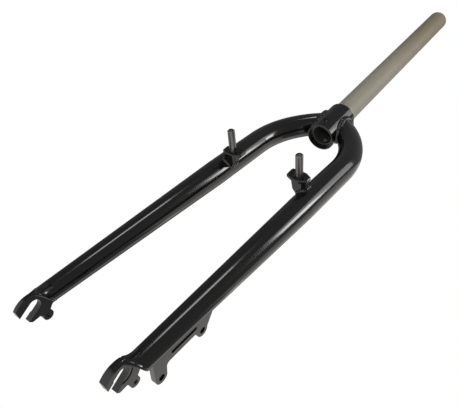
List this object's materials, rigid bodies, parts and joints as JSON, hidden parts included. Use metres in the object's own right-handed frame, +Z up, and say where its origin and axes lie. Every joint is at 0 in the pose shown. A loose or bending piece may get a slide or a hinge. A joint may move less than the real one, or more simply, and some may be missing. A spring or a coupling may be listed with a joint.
{
  "type": "mountain bike fork",
  "caption": "Rigid welded steel mountain bike fork with a long bare steerer, bent tapered black blades, cantilever brake studs, a disc brake mount and slotted dropouts.",
  "frame": {"origin": "on the steerer axis at the top of the crown, where the crown race seats", "axes": "+X forward, +Y to the rider's left, +Z up along the steerer"},
  "size_m": [0.0858, 0.1402, 0.7873],
  "materials": {
    "black_paint": "gloss",
    "bare_steel": "satin",
    "stud_steel": "satin"
  },
  "bodies": {
    "root": {"steerer_tube": "bare_steel", "crown_sleeve": "black_paint", "left_blade": "black_paint", "right_blade": "black_paint", "left_dropout": "black_paint", "right_dropout": "black_paint", "disc_brake_mount": "black_paint", "left_brake_boss": "black_paint", "right_brake_boss": "black_paint", "left_spring_plate": "black_paint", "right_spring_plate": "black_paint", "left_brake_stud": "stud_steel", "right_brake_stud": "stud_steel"}
  },
  "joints": []
}
